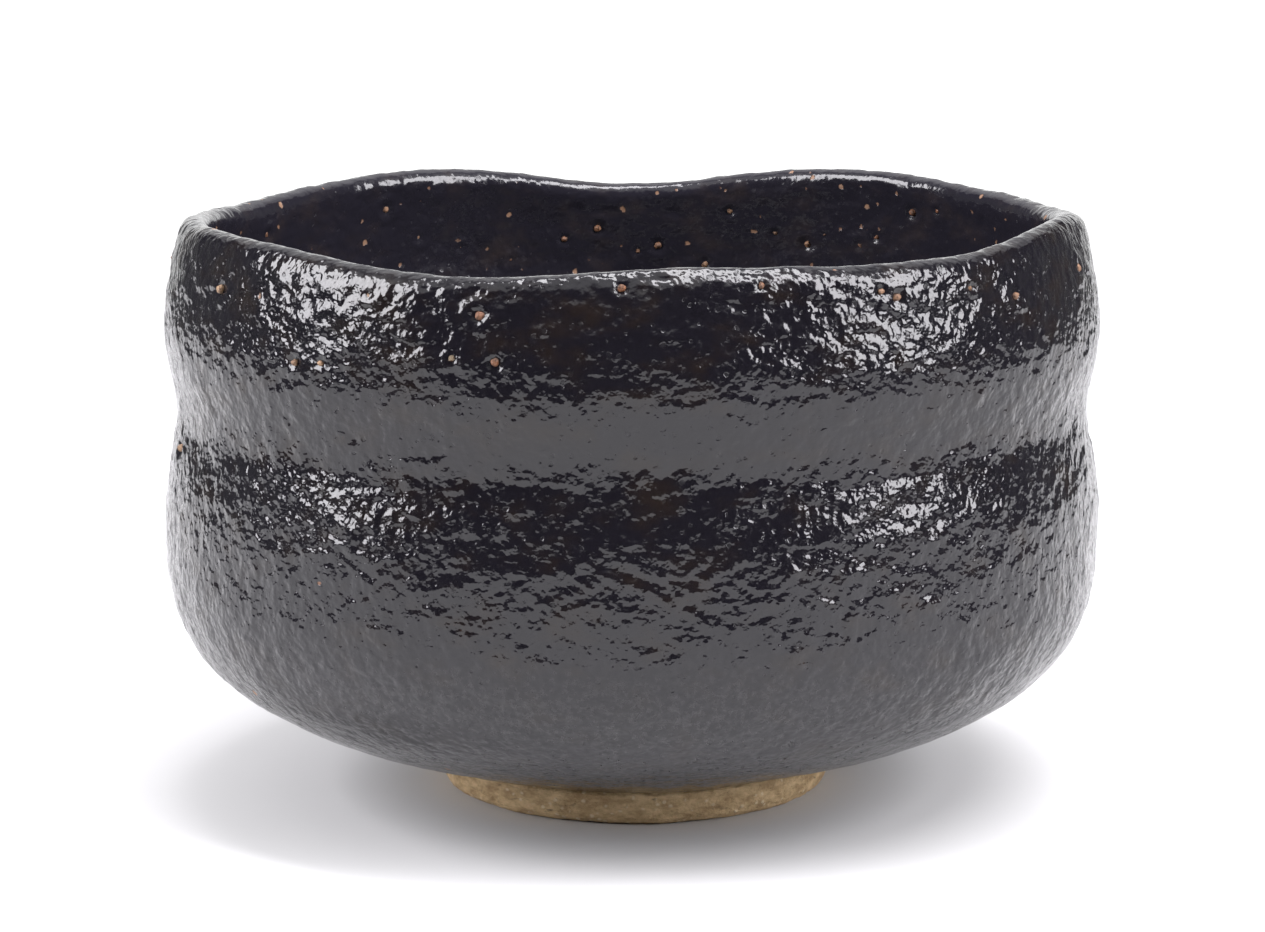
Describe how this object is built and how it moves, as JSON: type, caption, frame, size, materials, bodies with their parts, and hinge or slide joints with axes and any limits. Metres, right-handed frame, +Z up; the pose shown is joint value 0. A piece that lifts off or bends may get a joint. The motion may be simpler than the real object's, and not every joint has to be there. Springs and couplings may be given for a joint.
{
  "type": "matcha bowl",
  "caption": "Hand-formed tea bowl with a waved, rounded lip, a soft waist and a low bare-clay foot ring, for whisking and drinking powdered tea.",
  "frame": {"origin": "centre of the bowl on the plane that the foot ring stands on", "axes": "+Z up out of the mouth; -Y is the side with the two short spatula marks, +X to its right"},
  "size_m": [0.1205, 0.1204, 0.0758],
  "materials": {
    "fired_clay": "rough, unglazed",
    "bare_foot_clay": "rough, unglazed",
    "black_glaze": "glossy, pitted",
    "grog": "rough grains"
  },
  "bodies": {
    "root": {"clay_body": "fired_clay", "foot_ring": "bare_foot_clay", "outside_glaze": "black_glaze", "inside_glaze": "black_glaze", "lip_glaze": "black_glaze", "grog_grains_outside": "grog", "grog_grains_inside": "grog"}
  },
  "joints": []
}
